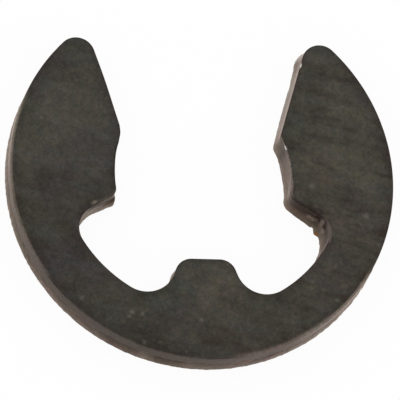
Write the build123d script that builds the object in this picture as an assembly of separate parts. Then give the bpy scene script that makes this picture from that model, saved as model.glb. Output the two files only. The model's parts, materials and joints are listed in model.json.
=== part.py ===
from build123d import *
from math import cos, radians, sin, sqrt, tan
import os

# E-type retaining clip for the groove of a shaft, pressed in one blow from flat spring strip.
# It lies flat with its mouth towards +Y. The origin is the centre of the seat, on the lower face.
# Lengths are in millimetres and angles in degrees.

# Strip and rim
outer_diameter = 12.0
thickness = 1.0
rim_width = 1.60  # of the band left outside the two reliefs

# Seat: two side arcs and the end of the tab bear on the floor of the shaft's groove
seat_diameter = 5.54
snap = 0.28  # reach of each nub past the side of the seat, which the shaft springs aside
nub_radius = 0.30

# Mouth and prongs
flank_angle = 16.9  # lean of each side of the mouth, which opens outwards
prong_tip_radius = 0.57

# Shoulders: the blunt inner ends of the prongs, below the seat arcs
shoulder_drop = 0.70  # from the seat's centre down to where its arcs end
shoulder_radius = 0.30
shoulder_slope = 30.8  # fall of the shoulder's underside on its way out to the rim

# Reliefs: the two hollows beside the tab, which let the prongs flex
relief_end_radius = 0.76  # at the hollow's outer end, below the shoulder

# Tab
tab_width = 1.60  # across its end, before the corners are rounded
tab_flare = 20.6  # lean of each side, wider at the root
tab_corner_rounding = 0.32  # radius at each corner of its end, as a share of its height
tab_root_rounding = 0.57  # radius at each side of its root, as a share of its height

# Pressed edge, from the upper face down: rolled corner, bright sheared band, rough torn band
die_roll_radius = 0.05
sheared_height = 0.38
tear_angle = 1.0

outer_radius = outer_diameter / 2
seat_radius = seat_diameter / 2
relief_radius = outer_radius - rim_width
tab_height = relief_radius - seat_radius


# Where a line through a point meets a circle about the origin, forwards along its heading or back
def meet(point, heading, radius, forwards=True):
    middle = -point.dot(heading)
    nearest = point + heading * middle
    half_chord = sqrt(radius**2 - nearest.length**2)
    return nearest + heading * (half_chord if forwards else -half_chord)


# Sharp corners of the right half, from the prong's tip round to the tab's end
def half_corners():
    nub_x = seat_radius - snap + nub_radius
    nub_centre = Vector(nub_x, sqrt((seat_radius + nub_radius) ** 2 - nub_x**2))
    lean = radians(flank_angle)
    flank = Vector(sin(lean), cos(lean))
    flank_point = nub_centre + Vector(-cos(lean), sin(lean)) * nub_radius
    tip = meet(flank_point, flank, outer_radius)
    nub = meet(flank_point, flank * -1, seat_radius, forwards=False)

    fall = radians(shoulder_slope)
    shoulder = Vector(sqrt(seat_radius**2 - shoulder_drop**2), -shoulder_drop)
    relief_end = meet(shoulder, Vector(cos(fall), -sin(fall)), relief_radius)

    flare = radians(tab_flare)
    tab_corner = Vector(tab_width / 2, -seat_radius)
    tab_root = meet(tab_corner, Vector(sin(flare), -cos(flare)), relief_radius)
    return tip, nub, shoulder, relief_end, tab_root, tab_corner


# The blank's outline, sharp first and then rounded corner by corner
def outline():
    right = half_corners()
    left = [Vector(-corner.X, corner.Y) for corner in right]
    prong_radii = (prong_tip_radius, nub_radius, shoulder_radius, relief_end_radius)
    tab_radii = (tab_root_rounding * tab_height, tab_corner_rounding * tab_height)
    with BuildSketch() as blank:
        with BuildLine():
            ThreePointArc(left[0], (0, -outer_radius), right[0])
            for tip, nub, shoulder, relief_end, tab_root, tab_corner in (right, left):
                Line(tip, nub)
                RadiusArc(nub, shoulder, seat_radius if nub.X > 0 else -seat_radius)
                Line(shoulder, relief_end)
                RadiusArc(relief_end, tab_root, relief_radius if nub.X > 0 else -relief_radius)
                Line(tab_root, tab_corner)
            Line(right[-1], left[-1])
        make_face()
        for corners in (right, left):
            for corner, radius in zip(corners, prong_radii + tab_radii):
                fillet(blank.vertices().sort_by_distance(corner)[0], radius)
    return blank.sketch


# The blank as it leaves the die: torn a little under size below, straight where it was sheared above
def retaining_clip():
    tear_height = thickness - sheared_height
    with BuildPart() as clip:
        with BuildSketch():
            add(outline())
            offset(amount=-tear_height * tan(radians(tear_angle)))
        extrude(amount=tear_height, taper=-tear_angle)
        extrude(clip.faces().sort_by(Axis.Z)[-1], amount=sheared_height)
        fillet(clip.faces().sort_by(Axis.Z)[-1].edges(), die_roll_radius)
    return clip.part


os.makedirs("parts", exist_ok=True)
export_step(retaining_clip(), "parts/retaining_clip.step")
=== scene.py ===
import bmesh
import bpy
import json
from math import atan2, ceil, cos, exp, pi, radians, sin, sqrt
from mathutils import Matrix, Vector, kdtree, noise


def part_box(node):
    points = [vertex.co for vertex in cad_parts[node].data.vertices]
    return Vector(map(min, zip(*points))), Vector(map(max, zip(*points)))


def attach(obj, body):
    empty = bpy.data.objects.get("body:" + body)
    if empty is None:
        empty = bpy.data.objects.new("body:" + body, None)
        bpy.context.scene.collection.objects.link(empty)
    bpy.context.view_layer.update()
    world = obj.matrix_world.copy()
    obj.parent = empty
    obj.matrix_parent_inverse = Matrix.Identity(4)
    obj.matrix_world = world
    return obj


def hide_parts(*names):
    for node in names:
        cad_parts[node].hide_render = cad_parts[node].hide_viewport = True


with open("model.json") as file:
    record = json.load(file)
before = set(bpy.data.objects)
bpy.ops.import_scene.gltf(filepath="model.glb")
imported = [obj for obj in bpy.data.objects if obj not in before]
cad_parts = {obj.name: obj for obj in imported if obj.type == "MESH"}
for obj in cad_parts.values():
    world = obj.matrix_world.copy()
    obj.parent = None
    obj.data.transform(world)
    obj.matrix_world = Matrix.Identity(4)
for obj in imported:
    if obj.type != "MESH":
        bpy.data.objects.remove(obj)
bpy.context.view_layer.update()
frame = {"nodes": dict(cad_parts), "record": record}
print("frame loaded:", ", ".join(frame["nodes"]))

millimetre = 0.001
clipLow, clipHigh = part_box("retaining_clip")
outerRadius = -clipLow.y / millimetre
thickness = clipHigh.z / millimetre
mounts = {mount["name"]: mount for mount in frame["record"]["mounts"]}
seatRadius = mounts["groove_seat"]["dims"]["r_mm"]


# Outline of the clip, seen from above with the mouth at +Y: millimetres and degrees
clipShape = {
    "rimWidth": 1.60,
    "snap": 0.28,  # how far the nubs close the mouth in front of the seat
    "nubRadius": 0.30,
    "flankAngle": 16.9,
    "tipRadius": 0.57,
    "shoulderDrop": 0.70,
    "shoulderRadius": 0.30,
    "shoulderSlope": 30.8,
    "reliefEndRadius": 0.76,
    "tabWidth": 1.60,
    "tabFlare": 20.6,
    "tabCornerShare": 0.32,  # of the tab's height
    "tabRootShare": 0.57,
    "pointSpacing": 0.05,
    "fewestArcSteps": 3,
    "weldDistance": 0.001,
}


# Where a line through a point leaves a circle about the seat's centre
def meet(point, heading, radius):
    along = point.dot(heading)
    return point + heading * (sqrt(along**2 + radius**2 - point.length_squared) - along)


# A corner rounded between a line and a circle: its centre, and its feet on the line and the circle
def roundCorner(corner, heading, side, radius, circleRadius, bend):
    centre = meet(corner + side * radius, heading, circleRadius + bend * radius)
    return centre, centre - side * radius, centre.normalized() * circleRadius


# The pen's stops round the right half, each an end point and the centre turned about to reach it
def halfStops(shape):
    floorRadius = outerRadius - shape["rimWidth"]
    seatCentre = Vector((0, 0))

    lean = radians(shape["flankAngle"])
    flank, flankSide = Vector((sin(lean), cos(lean))), Vector((cos(lean), -sin(lean)))
    nubRadius = shape["nubRadius"]
    nubX = seatRadius - shape["snap"] + nubRadius
    nubCentre = Vector((nubX, sqrt((seatRadius + nubRadius) ** 2 - nubX**2)))
    nubOnFlank = nubCentre - flankSide * nubRadius
    nubOnSeat = nubCentre.normalized() * seatRadius
    tipCentre, tipOnFlank, tipOnRim = roundCorner(
        nubOnFlank, flank, flankSide, shape["tipRadius"], outerRadius, -1)

    fall = radians(shape["shoulderSlope"])
    slope, slopeUp = Vector((cos(fall), -sin(fall))), Vector((sin(fall), cos(fall)))
    drop = shape["shoulderDrop"]
    shoulder = Vector((sqrt(seatRadius**2 - drop**2), -drop))
    shoulderCentre, shoulderOnSlope, shoulderOnSeat = roundCorner(
        shoulder, slope, slopeUp, shape["shoulderRadius"], seatRadius, 1)
    reliefCentre, reliefOnSlope, reliefOnFloor = roundCorner(
        shoulder, slope, -slopeUp, shape["reliefEndRadius"], floorRadius, -1)

    flare = radians(shape["tabFlare"])
    tabHeight = floorRadius - seatRadius
    tabSide, tabOut = Vector((sin(flare), -cos(flare))), Vector((cos(flare), sin(flare)))
    tabCorner = Vector((shape["tabWidth"] / 2, -seatRadius))
    rootCentre, rootOnTab, rootOnFloor = roundCorner(
        tabCorner, tabSide, tabOut, shape["tabRootShare"] * tabHeight, floorRadius, -1)
    cornerRadius = shape["tabCornerShare"] * tabHeight
    cornerCentre = tabCorner - tabOut * cornerRadius
    cornerCentre += tabSide * (cornerCentre.y + seatRadius + cornerRadius) / cos(flare)
    cornerOnTab = cornerCentre + tabOut * cornerRadius
    cornerOnEnd = Vector((cornerCentre.x, -seatRadius))

    return [
        (tipOnRim, seatCentre), (tipOnFlank, tipCentre), (nubOnFlank, None),
        (nubOnSeat, nubCentre), (shoulderOnSeat, seatCentre),
        (shoulderOnSlope, shoulderCentre), (reliefOnSlope, None), (reliefOnFloor, reliefCentre),
        (rootOnFloor, seatCentre), (rootOnTab, rootCentre),
        (cornerOnTab, None), (cornerOnEnd, cornerCentre),
        (Vector((0, -seatRadius)), None),
    ]


# Draws one half as a wire of short edges, spun round each arc and extruded along each straight
def drawHalf(bm, shape, mirror):
    pen = bm.verts.new((0, -outerRadius, 0))
    for stop, about in halfStops(shape):
        target = Vector((stop.x * mirror, stop.y, 0))
        if about is None:
            count = ceil((target - pen.co).length / shape["pointSpacing"])
            step = (target - pen.co) / count
            for i in range(count):
                place = pen.co + step
                pen = bmesh.ops.extrude_vert_indiv(bm, verts=[pen])["verts"][0]
                pen.co = place
            continue
        centre = Vector((about.x * mirror, about.y, 0))
        start, end = pen.co - centre, target - centre
        turn = atan2(start.x * end.y - start.y * end.x, start.dot(end))
        steps = ceil(abs(turn) * start.length / shape["pointSpacing"])
        arc = bmesh.ops.spin(
            bm, geom=[pen], cent=centre, axis=(0, 0, 1), angle=turn,
            steps=max(shape["fewestArcSteps"], steps))
        pen = next(part for part in arc["geom_last"] if isinstance(part, bmesh.types.BMVert))


# The closed outline's vertices in order, anticlockwise
def walkRound(bm):
    bm.verts.ensure_lookup_table()
    walk = [bm.verts[0]]
    edge = walk[0].link_edges[0]
    while True:
        here = edge.other_vert(walk[-1])
        if here is walk[0]:
            break
        walk.append(here)
        edge = next(other for other in here.link_edges if other is not edge)
    pairs = zip(walk, walk[1:] + walk[:1])
    twiceArea = sum(a.co.x * b.co.y - a.co.y * b.co.x for a, b in pairs)
    return walk if twiceArea > 0 else walk[::-1]


# Pressed edge: a rolled corner, a sheared band, then a torn band down to the lower face
edgeShape = {
    "flatRing": 0.06,  # flat borders outside the fill, which keep the face's shading flat
    "rollWidth": 0.04,
    "rollDepth": 0.05,
    "rollSteps": 6,
    "shearedDepth": 0.40,
    "tearBlend": 0.12,  # depth over which the sheared band turns into the torn one
    "tearWander": 0.14,  # how far the line between the bands strays up and down
    "wanderScale": 0.9,  # for each millimetre: it strays over stretches of about 1.1 mm
    "wanderFractal": (1.0, 2.0, 3),  # fall-off, step between layers, and number of layers
    "tearFlare": 0.04,  # how far the torn band stands out at the lower face
    "tearInset": 0.006,  # how far it starts inside the sheared band
    "tearRelief": 0.012,
    "ridgeScale": 7.0,  # for each millimetre along the edge: torn ridges about 0.14 mm apart
    "ridgeStretch": 0.6,  # the same down the edge, as a share of the scale along it
    "ridgeFractal": (0.8, 2.1, 4),
    "ringSpacing": 0.04,
    "footRadius": 0.03,
    "footSteps": 3,
    "faceGrid": 0.25,
}
# Broad tone of the faces: nought is dark brown and one is olive
faceTone = {
    "overall": 0.52,
    "atRim": -0.12,  # added at the outer rim, fading over the width
    "rimWidth": 0.7,
    "patches": [
        {"place": (0.0, -3.7), "reach": 1.5, "tone": 0.28},
        {"place": (-4.2, 1.4), "reach": 1.6, "tone": 0.12},
        {"place": (-3.5, 3.4), "reach": 1.3, "tone": 0.02},
        {"place": (4.5, 1.0), "reach": 1.9, "tone": 0.17},
        {"place": (3.6, 3.2), "reach": 1.4, "tone": 0.07},
        {"place": (-3.8, 4.3), "reach": 0.7, "tone": 0.20},
        {"place": (3.7, 4.2), "reach": 0.8, "tone": 0.28},
        {"place": (-4.7, -1.5), "reach": 1.6, "tone": -0.35},
        {"place": (-4.0, -3.9), "reach": 1.2, "tone": -0.18},
        {"place": (-1.6, -5.6), "reach": 1.3, "tone": -0.24},
        {"place": (0.3, -5.8), "reach": 0.8, "tone": -0.30},
        {"place": (2.2, -4.6), "reach": 1.2, "tone": -0.14},
    ],
}
# Wear of the edge, with painted light and shade. A swell or a mark has a place, a reach over which
# it fades along the outline, and the depths below the upper face that it lies between, below
# nought being on the face itself.
edgeWearAndPaintedLight = {
    "swells": [  # how far the edge stands out, from nothing at one depth to all of it at the other
        {"place": (3.15, 4.05), "reach": 0.80, "swell": 0.06, "from": 0.0, "to": 1.0},
        {"place": (3.50, 4.35), "reach": 0.60, "swell": 0.07, "from": 0.0, "to": 1.0},
        {"place": (2.75, 2.60), "reach": 2.40, "swell": 0.05, "from": 0.0, "to": 1.0},
        {"place": (2.76, 0.35), "reach": 1.00, "swell": 0.055, "from": 0.0, "to": 1.0},
        {"place": (2.85, -0.85), "reach": 0.30, "swell": -0.02, "from": 0.0, "to": 1.0},
        {"place": (3.15, -1.02), "reach": 0.50, "swell": 0.03, "from": 0.3, "to": 1.0},
        {"place": (3.62, -1.26), "reach": 0.60, "swell": 0.08, "from": 0.3, "to": 1.0},
        {"place": (3.62, -1.27), "reach": 0.10, "swell": -0.05, "from": 0.0, "to": 0.3},
        {"place": (3.77, -1.44), "reach": 0.20, "swell": 0.07, "from": 0.5, "to": 0.9},
        {"place": (3.88, -1.85), "reach": 0.80, "swell": 0.09, "from": 0.1, "to": 1.0},
        {"place": (-2.72, -0.72), "reach": 0.22, "swell": 0.08, "from": 0.3, "to": 0.6},
        {"place": (-3.40, -1.12), "reach": 0.40, "swell": -0.045, "from": 0.3, "to": 1.0},
        {"place": (-2.75, 0.10), "reach": 0.90, "swell": 0.03, "from": -1.0, "to": 0.0},
        {"place": (-2.49, 1.25), "reach": 0.35, "swell": -0.05, "from": -1.0, "to": 0.0},
        {"place": (-3.05, 3.00), "reach": 1.60, "swell": 0.025, "from": -1.0, "to": 0.0},
    ],
    "marks": [  # rubbed metal and painted highlight above nought, bare metal and painted glint above one, grime and painted shade below nought
        {"place": (-5.95, 0.60), "reach": 2.40, "mark": 0.8, "from": -0.04, "to": 0.05},
        {"place": (-5.83, 1.40), "reach": 1.70, "mark": 0.5, "from": 0.05, "to": 1.00},
        {"place": (-5.55, -2.20), "reach": 1.90, "mark": 0.5, "from": -0.08, "to": 0.05},
        {"place": (-2.30, -5.50), "reach": 3.40, "mark": 0.2, "from": 0.00, "to": 0.05},
        {"place": (-2.60, -5.42), "reach": 0.75, "mark": -0.25, "from": 0.45, "to": 1.00},
        {"place": (-1.20, -5.88), "reach": 0.75, "mark": -0.2, "from": 0.45, "to": 1.00},
        {"place": (2.20, -5.55), "reach": 1.90, "mark": 0.5, "from": -0.09, "to": 0.05},
        {"place": (2.35, -5.52), "reach": 0.80, "mark": -0.12, "from": 0.10, "to": 0.70},
        {"place": (3.30, -5.00), "reach": 1.00, "mark": 0.8, "from": -0.09, "to": 0.05},
        {"place": (3.20, -5.05), "reach": 1.10, "mark": 0.4, "from": 0.65, "to": 1.00},
        {"place": (4.40, -4.10), "reach": 1.70, "mark": 0.8, "from": -0.05, "to": 0.05},
        {"place": (4.75, -3.65), "reach": 1.10, "mark": 0.5, "from": 0.05, "to": 1.00},
        {"place": (2.82, 2.60), "reach": 2.10, "mark": 1.15, "from": 0.12, "to": 1.00},
        {"place": (3.45, 4.30), "reach": 0.60, "mark": 1.25, "from": 0.10, "to": 1.00},
        {"place": (3.17, 3.70), "reach": 0.14, "mark": 1.9, "from": -0.02, "to": 0.06},
        {"place": (2.70, 0.10), "reach": 1.10, "mark": 0.8, "from": 0.00, "to": 0.09},
        {"place": (2.70, 0.10), "reach": 1.10, "mark": 0.5, "from": 0.10, "to": 1.00},
        {"place": (2.60, 1.00), "reach": 0.40, "mark": -0.2, "from": 0.15, "to": 1.00},
        {"place": (2.73, -0.42), "reach": 0.40, "mark": 0.6, "from": -0.07, "to": 0.05},
        {"place": (2.62, 0.93), "reach": 0.11, "mark": 1.8, "from": -0.03, "to": 0.02},
        {"place": (2.56, 1.12), "reach": 0.26, "mark": 0.9, "from": -0.02, "to": 0.02},
        {"place": (-3.40, -1.04), "reach": 0.13, "mark": 0.55, "from": -0.11, "to": -0.03},
        {"place": (-3.05, -0.93), "reach": 0.65, "mark": 0.15, "from": -0.05, "to": 0.06},
        {"place": (-2.98, -0.90), "reach": 0.50, "mark": -0.22, "from": 0.10, "to": 0.75},
        {"place": (-3.36, -1.08), "reach": 0.30, "mark": -0.38, "from": 0.08, "to": 0.25},
        {"place": (-3.08, -0.93), "reach": 0.30, "mark": -0.38, "from": 0.28, "to": 0.45},
        {"place": (-2.88, -0.82), "reach": 0.30, "mark": -0.38, "from": 0.45, "to": 0.65},
        {"place": (-3.40, -1.12), "reach": 0.55, "mark": 0.55, "from": 0.45, "to": 1.00},
        {"place": (3.15, -1.03), "reach": 0.75, "mark": -0.3, "from": -0.07, "to": 0.20},
        {"place": (3.20, -1.05), "reach": 0.80, "mark": -0.31, "from": 0.20, "to": 1.00},
        {"place": (3.48, -1.19), "reach": 0.25, "mark": 0.55, "from": 0.40, "to": 0.60},
        {"place": (3.62, -1.28), "reach": 0.20, "mark": -0.4, "from": -0.05, "to": 0.75},
        {"place": (3.74, -1.41), "reach": 0.10, "mark": 0.5, "from": 0.10, "to": 0.50},
        {"place": (3.84, -1.58), "reach": 0.12, "mark": 0.55, "from": 0.45, "to": 0.85},
        {"place": (3.81, -1.52), "reach": 0.12, "mark": -0.35, "from": 0.00, "to": 0.40},
        {"place": (3.88, -1.78), "reach": 0.50, "mark": 0.4, "from": -0.06, "to": 0.06},
    ],
    "markCore": 0.4,  # share of a mark's reach over which it is whole
    "fadeAbove": 0.02,  # how far above its first depth a mark starts to show
    "fadeInto": 0.01,  # how far below that depth it is whole
    "fadeBelow": 0.03,  # how far below its last depth it ends
}


def smoothStep(low, high, value):
    share = min(1, max(0, (value - low) / (high - low)))
    return share * share * (3 - 2 * share)


# Steps of the edge's section from the upper face to the lower: (inset from the outline, depth)
def edgeProfile(shape):
    flatRing, rollWidth, rollDepth = shape["flatRing"], shape["rollWidth"], shape["rollDepth"]
    steps = [(rollWidth + flatRing * 2, 0), (rollWidth + flatRing, 0)]
    for i in range(shape["rollSteps"] + 1):
        turn = pi / 2 * i / shape["rollSteps"]
        steps.append((rollWidth * (1 - sin(turn)), rollDepth * (1 - cos(turn))))
    footRadius = shape["footRadius"]
    footTop = thickness - footRadius
    count = ceil((footTop - rollDepth) / shape["ringSpacing"])
    for i in range(1, count + 1):
        steps.append((0, rollDepth + (footTop - rollDepth) * i / count))
    for i in range(1, shape["footSteps"] + 1):
        turn = pi / 2 * i / shape["footSteps"]
        steps.append((footRadius * (1 - cos(turn)), footTop + footRadius * sin(turn)))
    steps.append((footRadius + flatRing, thickness))
    return steps


# How torn the edge is at a depth, and how far its surface then stands out from the outline
def tornEdge(shape, wearAndLight, base, depth):
    wander = noise.fractal(base * shape["wanderScale"], *shape["wanderFractal"])
    tearLine = shape["shearedDepth"] + shape["tearWander"] * wander
    torn = smoothStep(tearLine, tearLine + shape["tearBlend"], depth)
    out = shape["tearFlare"] * smoothStep(tearLine, thickness, depth) - shape["tearInset"]
    ridge = Vector((base.x, base.y, depth * shape["ridgeStretch"])) * shape["ridgeScale"]
    out += shape["tearRelief"] * noise.fractal(ridge, *shape["ridgeFractal"])
    out *= torn
    for swell in wearAndLight["swells"]:
        near = smoothStep(swell["reach"], 0, (base.xy - Vector(swell["place"])).length)
        out += swell["swell"] * near * smoothStep(swell["from"], swell["to"], depth)
    return torn, out


# Brightest and darkest marks at a place are added up, so that grime and painted shade still show
# on a rubbed spot with its painted highlight
def markAt(wearAndLight, place, depth):
    brightest = darkest = 0
    for mark in wearAndLight["marks"]:
        reach, first, last = mark["reach"], mark["from"], mark["to"]
        away = (place.xy - Vector(mark["place"])).length
        near = smoothStep(reach, reach * wearAndLight["markCore"], away)
        started = smoothStep(first - wearAndLight["fadeAbove"], first + wearAndLight["fadeInto"], depth)
        value = mark["mark"] * near * started * smoothStep(last + wearAndLight["fadeBelow"], last, depth)
        brightest, darkest = max(brightest, value), min(darkest, value)
    return brightest + darkest


def toneAt(tone, place):
    value = tone["overall"]
    for patch in tone["patches"]:
        away = (place.xy - Vector(patch["place"])).length / patch["reach"]
        value += patch["tone"] * exp(-away * away)
    rimStart = outerRadius - tone["rimWidth"]
    return value + tone["atRim"] * smoothStep(rimStart, outerRadius, place.xy.length)


# Cuts flat faces along a square grid, so that they can carry a value from place to place
def cutGrid(bm, faces, step):
    reach = int(outerRadius / step)
    for axis in (Vector((1, 0, 0)), Vector((0, 1, 0))):
        for i in range(-reach, reach + 1):
            parts = (part for face in faces for part in (face, *face.edges, *face.verts))
            cut = bmesh.ops.bisect_plane(
                bm, geom=list(dict.fromkeys(parts)), plane_co=axis * i * step, plane_no=axis)
            faces = [part for part in cut["geom"] if isinstance(part, bmesh.types.BMFace)]


# Carries the outline down the edge ring by ring, and gives the first ring and the last
def extrudeEdge(bm, profile, outward, base, tornLayer):
    firstRing = ring = list(bm.edges)
    verts = list(bm.verts)
    for i, (inset, depth) in enumerate(profile):
        if i > 0:
            new = bmesh.ops.extrude_edge_only(bm, edges=ring)["geom"]
            ring = [part for part in new if isinstance(part, bmesh.types.BMEdge)]
            verts = [part for part in new if isinstance(part, bmesh.types.BMVert)]
        for vert in verts:
            vert[tornLayer], out = tornEdge(edgeShape, edgeWearAndPaintedLight, vert[base], depth)
            vert.co = vert[base] + vert[outward] * (out - inset)
            vert.co.z = thickness - depth
    return firstRing, ring


# Extruding leaves the faces in another order on each run, so they are sorted by their first side
def sortFaces(bm):
    bm.verts.index_update()
    count = len(bm.verts)
    bm.faces.sort(key=lambda face: face.verts[0].index * count + face.verts[1].index)


def makeClip():
    bm = bmesh.new()
    weld = clipShape["weldDistance"]
    for mirror in (1, -1):
        drawHalf(bm, clipShape, mirror)
    bmesh.ops.remove_doubles(bm, verts=bm.verts, dist=weld)
    outward = bm.verts.layers.float_vector.new("outward")
    base = bm.verts.layers.float_vector.new("base")
    tornLayer = bm.verts.layers.float.new("torn")
    insideLayer = bm.verts.layers.float.new("inside")
    markLayer = bm.verts.layers.float.new("mark")
    toneLayer = bm.verts.layers.float.new("tone")
    walk = walkRound(bm)
    nearest = kdtree.KDTree(len(walk))
    for i, vert in enumerate(walk):
        along = (walk[(i + 1) % len(walk)].co - walk[i - 1].co).normalized()
        vert[outward] = Vector((along.y, -along.x, 0))
        vert[base] = vert.co.copy()
        nearest.insert(vert.co, i)
    nearest.balance()
    print("outline:", len(walk), "points")

    profile = edgeProfile(edgeShape)
    firstRing, lastRing = extrudeEdge(bm, profile, outward, base, tornLayer)
    print("edge:", len(profile), "rings")

    for ring, facing in ((firstRing, 1), (lastRing, -1)):
        fill = bmesh.ops.triangle_fill(
            bm, use_beauty=True, use_dissolve=True, edges=ring, normal=(0, 0, facing))
        faces = [part for part in fill["geom"] if isinstance(part, bmesh.types.BMFace)]
        cutGrid(bm, faces, edgeShape["faceGrid"])
    bmesh.ops.remove_doubles(bm, verts=bm.verts, dist=weld)
    print("faces: both filled and cut")

    for vert in bm.verts:
        place = vert.co
        onFace = min(place.z, thickness - place.z) < weld
        vert[insideLayer] = nearest.find(Vector((place.x, place.y, 0)))[2] if onFace else 0
        vert[markLayer] = markAt(edgeWearAndPaintedLight, place, thickness - place.z - vert[insideLayer])
        vert[toneLayer] = toneAt(faceTone, place)
    bmesh.ops.recalc_face_normals(bm, faces=bm.faces)
    sortFaces(bm)
    bmesh.ops.scale(bm, vec=Vector((1, 1, 1)) * millimetre, verts=bm.verts)
    mesh = bpy.data.meshes.new("clip_body")
    bm.to_mesh(mesh)
    bm.free()
    mesh.shade_smooth()
    for name in ("outward", "base"):  # needed only while the edge was drawn
        mesh.attributes.remove(mesh.attributes[name])
    clip = bpy.data.objects.new("clip_body", mesh)
    bpy.context.scene.collection.objects.link(clip)
    return clip


# One sRGB hex colour as linear red, green, blue and alpha
def hexColour(code):
    channels = [int(code[i:i + 2], 16) / 255 for i in (1, 3, 5)]
    return [c / 12.92 if c <= 0.04045 else ((c + 0.055) / 1.055) ** 2.4 for c in channels] + [1]


# Adds a node, links or sets its sockets, by name or by number, and sets its own options
def addNode(tree, kind, sockets, **options):
    node = tree.nodes.new("ShaderNode" + kind)
    for name, value in options.items():
        setattr(node, name, value)
    for name, value in sockets.items():
        if isinstance(value, bpy.types.NodeSocket):
            tree.links.new(value, node.inputs[name])
        else:
            node.inputs[name].default_value = value
    return node


def newTree(data):
    data.use_nodes = True
    data.node_tree.nodes.clear()
    return data.node_tree


# Lengths are in millimetres and angles in degrees
oxideFinish = {
    # the faces
    "darkBrown": "#36302b",
    "brown": "#423f39",
    "olive": "#504d43",
    "brownAt": 0.5,  # tone of the brown, the two others being at nought and one
    "oily": "#454847",
    "oilShare": 0.5,  # most of the oil's grey between the rolling lines
    "oilOnLeft": 0.12,  # more of it towards -X
    "oilSpan": (-3.0, 3.0),  # from all of that to none, across the clip
    "speck": "#77736a",
    "speckShare": 0.30,
    "speckSpacing": 0.667,  # from one worn speck to the next
    "speckSize": (0.03, 0.15),  # whole and ended, as shares of the spacing
    "spotShare": 0.40,
    "paleSpots": [  # where the skin is rubbed thin: place on the upper face, and reach
        (-2.02, -4.60, 0.10), (-2.33, -4.54, 0.13), (-2.42, -4.68, 0.08), (-0.20, -4.75, 0.11),
        (-1.99, -5.50, 0.09), (3.41, -0.32, 0.13), (5.08, -1.23, 0.14)],
    "borderSpan": (0.05, 0.35),  # inside the outline, where the face is darker along its edge
    "borderTone": (-0.2, 0.04),  # added to the tone at the start of that and at its end
    # the pressed edge
    "cornerSpan": (0.02, 0.055),  # inside the outline, where the edge's finish ends
    "sheared": "#383230",
    "torn": "#4a403b",
    "foot": "#73665d",
    "footSpan": (0.1, 0.55),  # above the lower face, from all of the foot's colour to none
    # rubbed metal with painted highlight, bare metal with painted glints, grime with painted shade
    "rubbedAndHighlit": "#82776e",
    "bareAndGlint": "#d4d8d6",
    "grimeAndShade": "#1f1c19",
    "rust": "#75502f",
    "rustPlace": (3.68, -1.55, 0.12),
    "rustReach": 0.12,
    # gloss
    "metallic": 1.0,
    "faceRoughness": 0.50,
    "shearedRoughness": 0.42,
    "tornRoughness": 0.45,
    "faceSheen": "#ffffff",
    "edgeSheen": "#efe7e1",
    "dust": "#e6cdc0",  # dry powder of the skin, which pales the metal at a low angle
    "dustWeight": 0.7,
    "dustRoughness": 0.22,
    # lines that the rolling left along the strip: hair-fine, so drawn as wide as they need to show
    "rollingAngle": -16.0,  # their heading, from +X
    "rollingSize": (1.6, 0.32, 0.7),  # along them, across them and through the strip
    "rollingDetail": 3.0,
    "rollingRange": (0.3, 0.5),  # values of their pattern that darken the skin, most to none
    "rollingTone": -0.35,
    "rollingOnLeft": 0.3,  # share of them that shows towards -X
    "rollingSpan": (-2.0, 3.0),  # from that share to all, across the clip
    "oilRange": (0.5, 0.8),  # values of their pattern that hold oil, none to most
    # The skin's patterns. Patches and clouds have the size of the real ones. The real grain and
    # pits are a few thousandths of a millimetre wide, too fine to show, so these are as coarse as
    # they need to be for the skin to look powdery.
    "patterns": {
        "patches": {"size": 2.22, "detail": 2.0, "roughness": 0.5},
        "clouds": {"size": 0.625, "detail": 5.0, "roughness": 0.65},
        "grain": {"size": 0.137, "detail": 2.0, "roughness": 0.5},
        "pits": {"size": 0.0515, "detail": 1.0, "roughness": 0.5},
    },
    "patternRange": (0.3, 0.7),  # nearly all of a pattern's values lie in it
    "patchTone": 0.15,  # how far the patches and the clouds move the faces' tone
    "cloudTone": 0.3,
    "stainShade": 0.3,  # how far the clouds shade the edge, the grain and the pits everything
    "grainShade": 0.11,
    "pitShade": 0.13,
    "tints": {"patches": 0.2, "clouds": 0.14, "grain": 0.25},  # towards red, green or blue
    "bumpHeight": 0.004,
}


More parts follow.
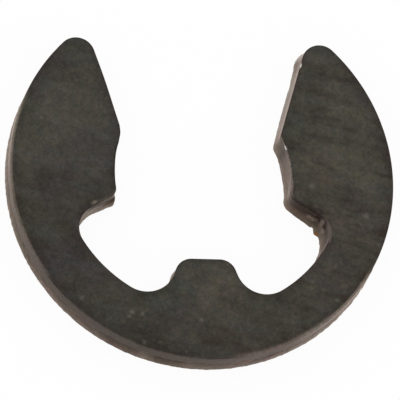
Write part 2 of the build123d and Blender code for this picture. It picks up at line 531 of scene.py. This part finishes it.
# The faces follow the mesh's broad tone, broken up by cloudy patches and by lines from the rolling
def faceColour(tree, look, place, inside, patterns):
    low, high = look["patternRange"]
    across = addNode(tree, "SeparateXYZ", {"Vector": place}).outputs["X"]
    alongStrip = addNode(tree, "Mapping", {
        "Vector": place, "Rotation": (0, 0, radians(look["rollingAngle"])),
        "Scale": look["rollingSize"]}, vector_type="TEXTURE")
    lines = addNode(tree, "TexNoise", {
        "Vector": alongStrip.outputs[0], "Scale": 1.0, "Detail": look["rollingDetail"]})
    streaks = addNode(tree, "MapRange", {
        "Value": lines.outputs[0], "From Min": look["rollingRange"][0],
        "From Max": look["rollingRange"][1], "To Min": look["rollingTone"], "To Max": 0.0})
    shown = addNode(tree, "MapRange", {
        "Value": across, "From Min": look["rollingSpan"][0],
        "From Max": look["rollingSpan"][1], "To Min": look["rollingOnLeft"], "To Max": 1.0})
    streaks = addNode(
        tree, "Math", {0: streaks.outputs[0], 1: shown.outputs[0]}, operation="MULTIPLY")
    drift = addNode(tree, "MapRange", {
        "Value": patterns["patches"].outputs[0], "From Min": low, "From Max": high,
        "To Min": -look["patchTone"], "To Max": look["patchTone"]})
    cloud = addNode(tree, "MapRange", {
        "Value": patterns["clouds"].outputs[0], "From Min": low, "From Max": high,
        "To Min": -look["cloudTone"], "To Max": look["cloudTone"]})
    border = addNode(tree, "MapRange", {
        "Value": inside, "From Min": look["borderSpan"][0], "From Max": look["borderSpan"][1],
        "To Min": look["borderTone"][0], "To Max": look["borderTone"][1]})
    tone = addNode(tree, "Attribute", {}, attribute_name="tone").outputs["Fac"]
    for part in (streaks, drift, cloud, border):
        tone = addNode(tree, "Math", {0: tone, 1: part.outputs[0]}, operation="ADD").outputs[0]
    skin = addNode(tree, "ValToRGB", {0: tone})
    stops = skin.color_ramp.elements
    stops.new(look["brownAt"])
    for stop, name in zip(stops, ("darkBrown", "brown", "olive")):
        stop.color = hexColour(look[name])

    wet = addNode(tree, "MapRange", {
        "Value": across, "From Min": look["oilSpan"][0], "From Max": look["oilSpan"][1],
        "To Min": look["oilOnLeft"], "To Max": 0.0})
    oily = addNode(tree, "MapRange", {
        "Value": lines.outputs[0], "From Min": look["oilRange"][0],
        "From Max": look["oilRange"][1], "To Max": look["oilShare"]})
    oily = addNode(tree, "Math", {0: oily.outputs[0], 1: wet.outputs[0]}, operation="ADD")
    face = addNode(tree, "Mix", {
        0: oily.outputs[0], 6: skin.outputs[0], 7: hexColour(look["oily"])}, data_type="RGBA")

    cells = addNode(tree, "TexVoronoi", {"Vector": place, "Scale": 1 / look["speckSpacing"]})
    speck = addNode(tree, "MapRange", {
        "Value": cells.outputs["Distance"], "From Min": look["speckSize"][1],
        "From Max": look["speckSize"][0], "To Max": look["speckShare"]})
    speck = addNode(
        tree, "Math", {0: speck.outputs[0], 1: cells.outputs["Color"]}, operation="MULTIPLY")
    for x, y, reach in look["paleSpots"]:
        away = addNode(tree, "VectorMath", {0: place, 1: (x, y, thickness)}, operation="DISTANCE")
        spot = addNode(tree, "MapRange", {
            "Value": away.outputs["Value"], "From Min": reach, "From Max": 0.0,
            "To Max": look["spotShare"]})
        speck = addNode(
            tree, "Math", {0: speck.outputs[0], 1: spot.outputs[0]}, operation="MAXIMUM")
    return addNode(tree, "Mix", {
        0: speck.outputs[0], 6: face.outputs[2], 7: hexColour(look["speck"])},
        data_type="RGBA").outputs[2]


# The edge has a dark smooth band, a paler torn one and a pale foot, all of them stained
def edgeColour(tree, look, place, torn, patterns):
    low, high = look["patternRange"]
    height = addNode(tree, "SeparateXYZ", {"Vector": place}).outputs["Z"]
    bands = addNode(tree, "Mix", {
        0: torn, 6: hexColour(look["sheared"]), 7: hexColour(look["torn"])}, data_type="RGBA")
    foot = addNode(tree, "MapRange", {
        "Value": height, "From Min": look["footSpan"][1], "From Max": look["footSpan"][0]})
    edge = addNode(tree, "Mix", {
        0: foot.outputs[0], 6: bands.outputs[2], 7: hexColour(look["foot"])}, data_type="RGBA")
    stain = addNode(tree, "MapRange", {
        "Value": patterns["clouds"].outputs[0], "From Min": low, "From Max": high,
        "To Min": 1 - look["stainShade"], "To Max": 1 + look["stainShade"]})
    return addNode(tree, "VectorMath", {
        0: edge.outputs[2], "Scale": stain.outputs[0]}, operation="SCALE").outputs[0]


# Fine light and dark all over, and a little colour of its own in each of the larger patterns
def breakUp(tree, look, colour, patterns):
    low, high = look["patternRange"]
    for name, shade in (("grain", look["grainShade"]), ("pits", look["pitShade"])):
        share = addNode(tree, "MapRange", {
            "Value": patterns[name].outputs[0], "From Min": low, "From Max": high,
            "To Min": 1 - shade, "To Max": 1 + shade})
        colour = addNode(tree, "VectorMath", {
            0: colour, "Scale": share.outputs[0]}, operation="SCALE").outputs[0]
    for name, tint in look["tints"].items():
        hue = addNode(tree, "VectorMath", {
            0: patterns[name].outputs["Color"], 1: (tint,) * 3, 2: (1 - tint / 2,) * 3},
            operation="MULTIPLY_ADD")
        colour = addNode(tree, "VectorMath", {
            0: colour, 1: hue.outputs[0]}, operation="MULTIPLY").outputs[0]
    return colour


# Black oxide on hardened spring strip: a thin dark skin, olive in places and brown towards the
# edges, dull and cloudy on the faces, with a paler sheen on the pressed edge at a low angle
def blackOxideSteel():
    look = oxideFinish
    material = bpy.data.materials.new("black_oxide_spring_steel")
    tree = newTree(material)
    metres = addNode(tree, "TexCoord", {}).outputs["Object"]
    place = addNode(tree, "VectorMath", {
        0: metres, "Scale": 1 / millimetre}, operation="SCALE").outputs[0]
    inside, torn, mark = (
        addNode(tree, "Attribute", {}, attribute_name=name).outputs["Fac"]
        for name in ("inside", "torn", "mark"))
    patterns = {
        name: addNode(tree, "TexNoise", {
            "Vector": place, "Scale": 1 / pattern["size"], "Detail": pattern["detail"],
            "Roughness": pattern["roughness"]})
        for name, pattern in look["patterns"].items()}

    onEdge = addNode(tree, "MapRange", {
        "Value": inside, "From Min": look["cornerSpan"][1],
        "From Max": look["cornerSpan"][0]}).outputs[0]
    colour = addNode(tree, "Mix", {
        0: onEdge, 6: faceColour(tree, look, place, inside, patterns),
        7: edgeColour(tree, look, place, torn, patterns)}, data_type="RGBA").outputs[2]

    # Marks lay painted highlight over rubbed metal, painted glints over bare metal and painted
    # shade over grime, then the rust spot
    bareAndGlint = addNode(tree, "Math", {0: mark, 1: 1.0}, operation="SUBTRACT").outputs[0]
    shadeAndGrimeShare = addNode(tree, "Math", {0: mark, 1: -1.0}, operation="MULTIPLY").outputs[0]
    away = addNode(tree, "VectorMath", {0: place, 1: look["rustPlace"]}, operation="DISTANCE")
    rust = addNode(tree, "MapRange", {
        "Value": away.outputs["Value"], "From Min": look["rustReach"],
        "From Max": look["rustReach"] / 2}).outputs[0]
    for share, name in ((mark, "rubbedAndHighlit"), (bareAndGlint, "bareAndGlint"), (shadeAndGrimeShare, "grimeAndShade"), (rust, "rust")):
        colour = addNode(tree, "Mix", {
            0: share, 6: colour, 7: hexColour(look[name])}, data_type="RGBA").outputs[2]
    colour = breakUp(tree, look, colour, patterns)

    edgeRoughness = addNode(tree, "Mix", {
        0: torn, 2: look["shearedRoughness"], 3: look["tornRoughness"]})
    roughness = addNode(tree, "Mix", {
        0: onEdge, 2: look["faceRoughness"], 3: edgeRoughness.outputs[0]})
    sheen = addNode(tree, "Mix", {
        0: onEdge, 6: hexColour(look["faceSheen"]), 7: hexColour(look["edgeSheen"])},
        data_type="RGBA")
    # where a mark is below nought, its painted shade also dims the edge's reflection
    sheen = addNode(tree, "Mix", {
        0: shadeAndGrimeShare, 6: sheen.outputs[2], 7: hexColour(look["grimeAndShade"])}, data_type="RGBA")
    bump = addNode(tree, "Bump", {
        "Distance": look["bumpHeight"] * millimetre, "Height": patterns["grain"].outputs[0]})
    shader = addNode(tree, "BsdfPrincipled", {
        "Base Color": colour, "Metallic": look["metallic"],
        "Roughness": roughness.outputs[0], "Normal": bump.outputs[0],
        "Specular Tint": sheen.outputs[2], "Sheen Weight": look["dustWeight"],
        "Sheen Tint": hexColour(look["dust"]), "Sheen Roughness": look["dustRoughness"]})
    addNode(tree, "OutputMaterial", {"Surface": shader.outputs[0]})
    print("material:", material.name, "with", len(tree.nodes), "nodes")
    return material


# Lengths are in metres here
stageLook = {
    "white": "#ffffff",
    "whiteStrength": 1.0,  # at which white renders white
    "floorSize": 0.4,
    "shadowShare": 0.06,  # share of the floor's light that a shadow takes away
    "skyStrength": 0.9,
    "lampPower": 0.03,
    "lampPlace": (-0.12, 0.16, 0.25),
    "lampSize": 0.15,
}


# One where a ray comes from the camera, a glossy surface or a clear one, else nought
def seenDirectly(tree):
    rays = addNode(tree, "LightPath", {}).outputs
    seen = rays["Is Camera Ray"]
    for other in ("Is Glossy Ray", "Is Transmission Ray"):
        seen = addNode(tree, "Math", {0: seen, 1: rays[other]}, operation="MAXIMUM").outputs[0]
    return seen


# White table paper: its own white shows to the eye and in reflections, with a soft shadow on it
def makeFloor():
    bm = bmesh.new()
    bmesh.ops.create_grid(bm, x_segments=1, y_segments=1, size=stageLook["floorSize"] / 2)
    mesh = bpy.data.meshes.new("floor")
    bm.to_mesh(mesh)
    bm.free()
    floor = bpy.data.objects.new("floor", mesh)
    bpy.context.scene.collection.objects.link(floor)
    material = bpy.data.materials.new("white_table_paper")
    tree = newTree(material)
    white = hexColour(stageLook["white"])
    paper = addNode(tree, "BsdfDiffuse", {"Color": white})
    glow = addNode(tree, "Emission", {"Color": white, "Strength": stageLook["whiteStrength"]})
    share = addNode(tree, "Math", {
        0: seenDirectly(tree), 1: 1 - stageLook["shadowShare"]}, operation="MULTIPLY")
    mix = addNode(tree, "MixShader", {
        0: share.outputs[0], 1: paper.outputs[0], 2: glow.outputs[0]})
    addNode(tree, "OutputMaterial", {"Surface": mix.outputs[0]})
    mesh.materials.append(material)


def makeSky():
    world = bpy.data.worlds.new("studio")
    bpy.context.scene.world = world
    tree = newTree(world)
    white = hexColour(stageLook["white"])
    soft = addNode(tree, "Background", {"Color": white, "Strength": stageLook["skyStrength"]})
    plain = addNode(tree, "Background", {"Color": white, "Strength": stageLook["whiteStrength"]})
    mix = addNode(tree, "MixShader", {
        0: seenDirectly(tree), 1: soft.outputs[0], 2: plain.outputs[0]})
    addNode(tree, "OutputWorld", {"Surface": mix.outputs[0]})


def makeLamp():
    light = bpy.data.lights.new("softbox", "AREA")
    light.shape = "DISK"
    light.size = stageLook["lampSize"]
    light.energy = stageLook["lampPower"]
    lamp = bpy.data.objects.new("softbox", light)
    lamp.location = stageLook["lampPlace"]
    lamp.rotation_euler = lamp.location.to_track_quat("Z", "Y").to_euler()
    bpy.context.scene.collection.objects.link(lamp)


# Lengths are in millimetres and angles in degrees
cameraLook = {
    "side": 243.6,  # round from +X, the way that the camera leans
    "tilt": 22.3,  # off straight down
    "roll": -1.93,
    "distance": 144.0,  # from the seat's centre
    "aim": (-0.093, -0.814),  # from the seat's centre to the view's, across and up the view
    "viewWidth": 12.34,  # at the clip
    "sensorWidth": 36.0,
    "nearest": 5.0,  # distance at which the view starts
}


def makeCamera():
    look = cameraLook
    side, tilt, roll = (radians(look[name]) for name in ("side", "tilt", "roll"))
    seat = Vector((0, 0, thickness))
    back = Vector((sin(tilt) * cos(side), sin(tilt) * sin(side), cos(tilt)))
    place = seat + back * look["distance"]
    right = Matrix.Rotation(roll, 3, back) @ Vector((0, 1, 0)).cross(back).normalized()
    up = back.cross(right)
    back = (place - seat - right * look["aim"][0] - up * look["aim"][1]).normalized()
    right = up.cross(back).normalized()
    up = back.cross(right)
    data = bpy.data.cameras.new("camera")
    data.sensor_width = look["sensorWidth"]
    data.lens = data.sensor_width * look["distance"] / look["viewWidth"]
    data.clip_start = look["nearest"] * millimetre
    camera = bpy.data.objects.new("camera", data)
    turned = Matrix((right, up, back)).transposed().to_4x4()
    camera.matrix_world = Matrix.Translation(place * millimetre) @ turned
    bpy.context.scene.collection.objects.link(camera)
    bpy.context.scene.camera = camera


makeCamera()
makeSky()
makeLamp()
makeFloor()
bpy.context.scene.view_settings.view_transform = "Standard"
print("stage: camera, sky, lamp and floor")

clip = makeClip()
clip.data.materials.append(blackOxideSteel())
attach(clip, "root")
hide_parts("retaining_clip")
print("clip:", len(clip.data.polygons), "faces")
